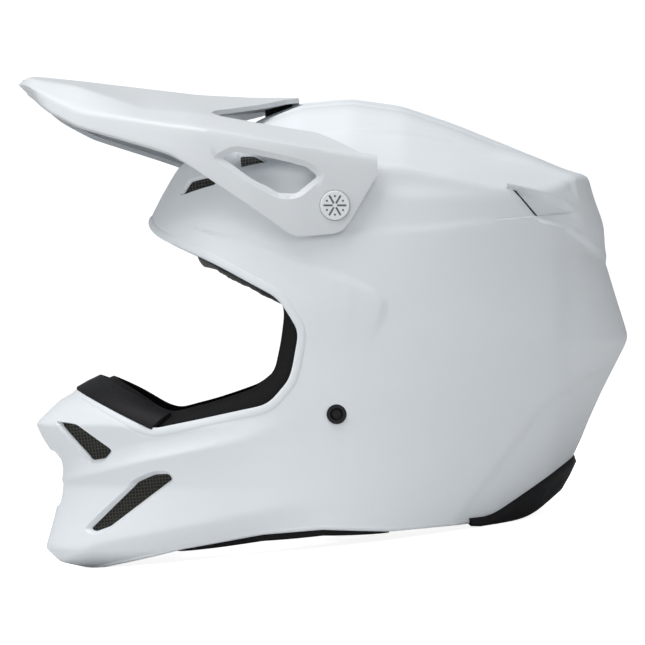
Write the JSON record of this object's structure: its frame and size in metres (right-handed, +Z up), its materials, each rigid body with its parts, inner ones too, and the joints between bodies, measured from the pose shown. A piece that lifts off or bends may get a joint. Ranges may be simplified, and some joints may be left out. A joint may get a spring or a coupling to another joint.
{
  "type": "motocross helmet",
  "caption": "Open-face off-road helmet with a chin bar, a tilting peak visor held by side knobs, vents, a padded lining and a D-ring chin strap.",
  "frame": {"origin": "middle of the bounding box in X and Y, on the surface that the helmet stands on", "axes": "-Y forward (the way the rider looks), +X the rider's left, +Z up; the helmet stands on its chin bar and rear rim, tipped 7 degrees back from how it is worn"},
  "size_m": [0.2466, 0.3636, 0.2922],
  "materials": {
    "shell_white": "satin white paint over a composite shell",
    "visor_white": "satin white",
    "impact_foam": "moulded bead foam, dark grey",
    "lining_cloth": "black brushed knit over foam",
    "black_rubber": "matt black",
    "black_plastic": "matt black, finely grained",
    "vent_mesh": "black woven wire mesh",
    "knob_white": "satin white",
    "insert_brass": "turned brass",
    "magnet_steel": "nickel plated",
    "strap_webbing": "black woven webbing",
    "tab_webbing": "red woven webbing",
    "ring_steel": "polished steel",
    "rivet_black": "black oxide"
  },
  "bodies": {
    "shell": {"brow_mesh_left": "vent_mesh", "brow_mesh_right": "vent_mesh", "cheek_cover_left": "lining_cloth", "cheek_cover_right": "lining_cloth", "cheek_foam_left": "impact_foam", "cheek_foam_right": "impact_foam", "cheek_plate_left": "black_plastic", "cheek_plate_right": "black_plastic", "chin_foam": "impact_foam", "crown_magnet": "magnet_steel", "crown_mesh_left": "vent_mesh", "crown_mesh_right": "vent_mesh", "crown_pad": "lining_cloth", "eyeport_seal": "black_rubber", "lower_chin_mesh_left": "vent_mesh", "lower_chin_mesh_right": "vent_mesh", "main_foam": "impact_foam", "mouth_grille": "vent_mesh", "neck_roll": "lining_cloth", "nose_guard": "black_rubber", "outer_shell": "shell_white", "rear_mesh_left": "vent_mesh", "rear_mesh_right": "vent_mesh", "rear_rim_guard": "black_plastic", "release_tab_left": "tab_webbing", "release_tab_right": "tab_webbing", "rim_seal": "black_rubber", "strap_rivet_left": "rivet_black", "strap_rivet_right": "rivet_black", "upper_chin_mesh_left": "vent_mesh", "upper_chin_mesh_right": "vent_mesh", "visor_insert_left": "insert_brass", "visor_insert_right": "insert_brass", "visor_stop_pad": "black_rubber"},
    "visor": {"visor": "visor_white", "visor_magnet": "magnet_steel"},
    "knob_left": {"visor_knob_left": "knob_white"},
    "knob_right": {"visor_knob_right": "knob_white"},
    "chin_strap": {"strap_short": "strap_webbing", "strap_long": "strap_webbing", "d_ring_first": "ring_steel", "d_ring_second": "ring_steel", "strap_snap": "rivet_black", "anchor_plate_left": "ring_steel", "anchor_plate_right": "ring_steel"}
  },
  "joints": [
    {"name": "visor_tilt", "type": "hinge", "parent": "shell", "child": "visor", "pos_m": [0, 0.01527, 0.19222], "axis": [-1, 0, 0], "range_deg": [0, 9]},
    {"name": "knob_left_turn", "type": "hinge", "parent": "shell", "child": "knob_left", "pos_m": [0.1133, 0.01527, 0.19222], "axis": [1, 0, 0], "continuous": true},
    {"name": "knob_right_turn", "type": "hinge", "parent": "shell", "child": "knob_right", "pos_m": [-0.1133, 0.01527, 0.19222], "axis": [-1, 0, 0], "continuous": true},
    {"name": "strap_swing", "type": "hinge", "parent": "shell", "child": "chin_strap", "pos_m": [0, 0.00188, 0.07498], "axis": [1, 0, 0], "range_deg": [-8, 8]}
  ]
}
